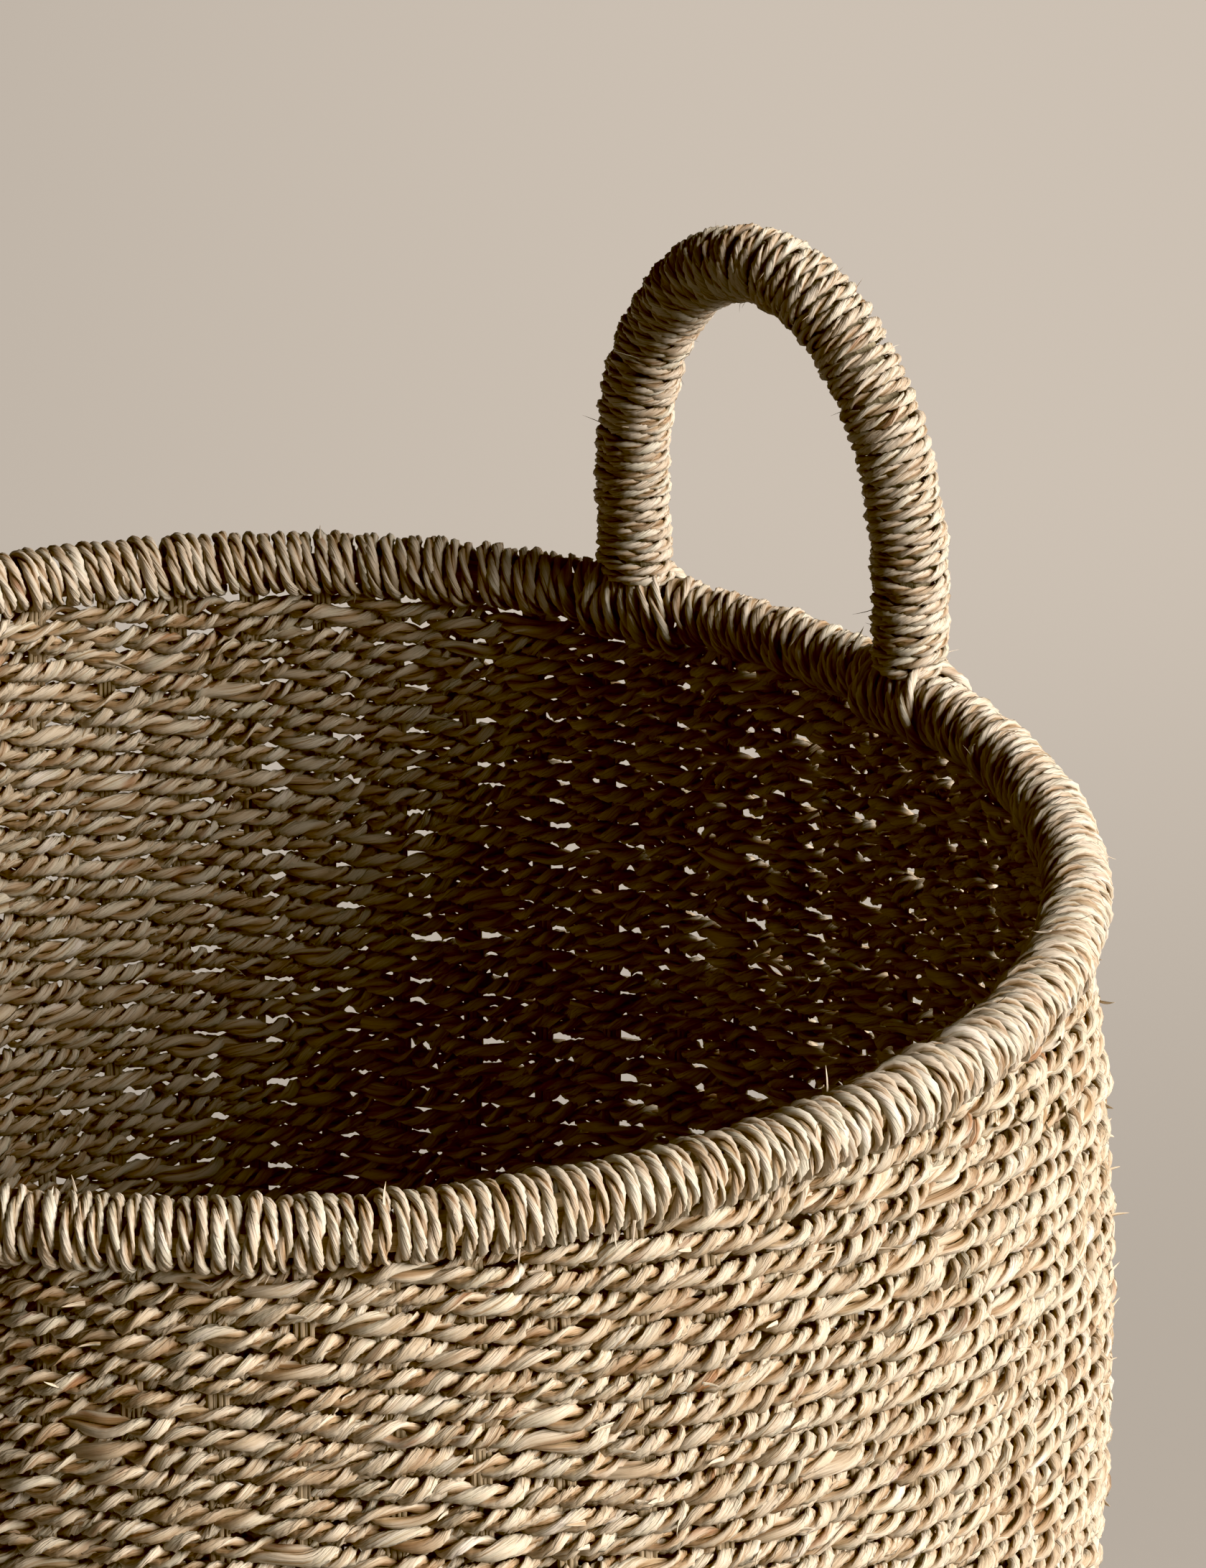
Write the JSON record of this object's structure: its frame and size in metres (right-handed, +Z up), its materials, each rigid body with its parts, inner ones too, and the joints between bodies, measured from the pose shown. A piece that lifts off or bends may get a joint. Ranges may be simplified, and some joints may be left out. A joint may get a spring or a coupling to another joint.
{
  "type": "seagrass storage basket",
  "caption": "Round woven seagrass basket with a gently bulging wall, a thick wrapped rim and two upright arched handles, for storing soft goods or laundry.",
  "frame": {"origin": "on the ground under the centre of the round base", "axes": "+Z up along the basket's axis; +X through the middle of the right handle and -X through the middle of the left handle"},
  "size_m": [0.487, 0.487, 0.5255],
  "materials": {
    "seagrass_weave": "matte to slightly satin two-ply twisted seagrass rope, plain woven, straw to olive grey with rust brown pieces",
    "stake_grass": "matte flat bundles of seagrass",
    "wrap_twine": "satin two-ply seagrass twine, wrapped close, beige with olive and grey green pieces",
    "hoop_cane": "natural split cane, hidden under the wrap",
    "handle_padding": "bundled dry grass, hidden under the wrap",
    "handle_steel": "plain steel wire, hidden in the padding"
  },
  "bodies": {
    "root": {"base_weave": "seagrass_weave", "wall_weave": "seagrass_weave", "stake_x_01": "stake_grass", "stake_x_02": "stake_grass", "stake_x_03": "stake_grass", "stake_x_04": "stake_grass", "stake_x_05": "stake_grass", "stake_x_06": "stake_grass", "stake_x_07": "stake_grass", "stake_x_08": "stake_grass", "stake_x_09": "stake_grass", "stake_x_10": "stake_grass", "stake_x_11": "stake_grass", "stake_x_12": "stake_grass", "stake_x_13": "stake_grass", "stake_x_14": "stake_grass", "stake_x_15": "stake_grass", "stake_x_16": "stake_grass", "stake_y_01": "stake_grass", "stake_y_02": "stake_grass", "stake_y_03": "stake_grass", "stake_y_04": "stake_grass", "stake_y_05": "stake_grass", "stake_y_06": "stake_grass", "stake_y_07": "stake_grass", "stake_y_08": "stake_grass", "stake_y_09": "stake_grass", "stake_y_10": "stake_grass", "stake_y_11": "stake_grass", "stake_y_12": "stake_grass", "stake_y_13": "stake_grass", "stake_y_14": "stake_grass", "stake_y_15": "stake_grass", "stake_y_16": "stake_grass", "rim_hoop_inner": "hoop_cane", "rim_hoop_outer": "hoop_cane", "rim_wrap": "wrap_twine", "handle_right_wire": "handle_steel", "handle_right_padding": "handle_padding", "handle_right_wrap": "wrap_twine", "handle_right_binding_front": "wrap_twine", "handle_right_binding_back": "wrap_twine", "handle_left_wire": "handle_steel", "handle_left_padding": "handle_padding", "handle_left_wrap": "wrap_twine", "handle_left_binding_front": "wrap_twine", "handle_left_binding_back": "wrap_twine"}
  },
  "joints": []
}
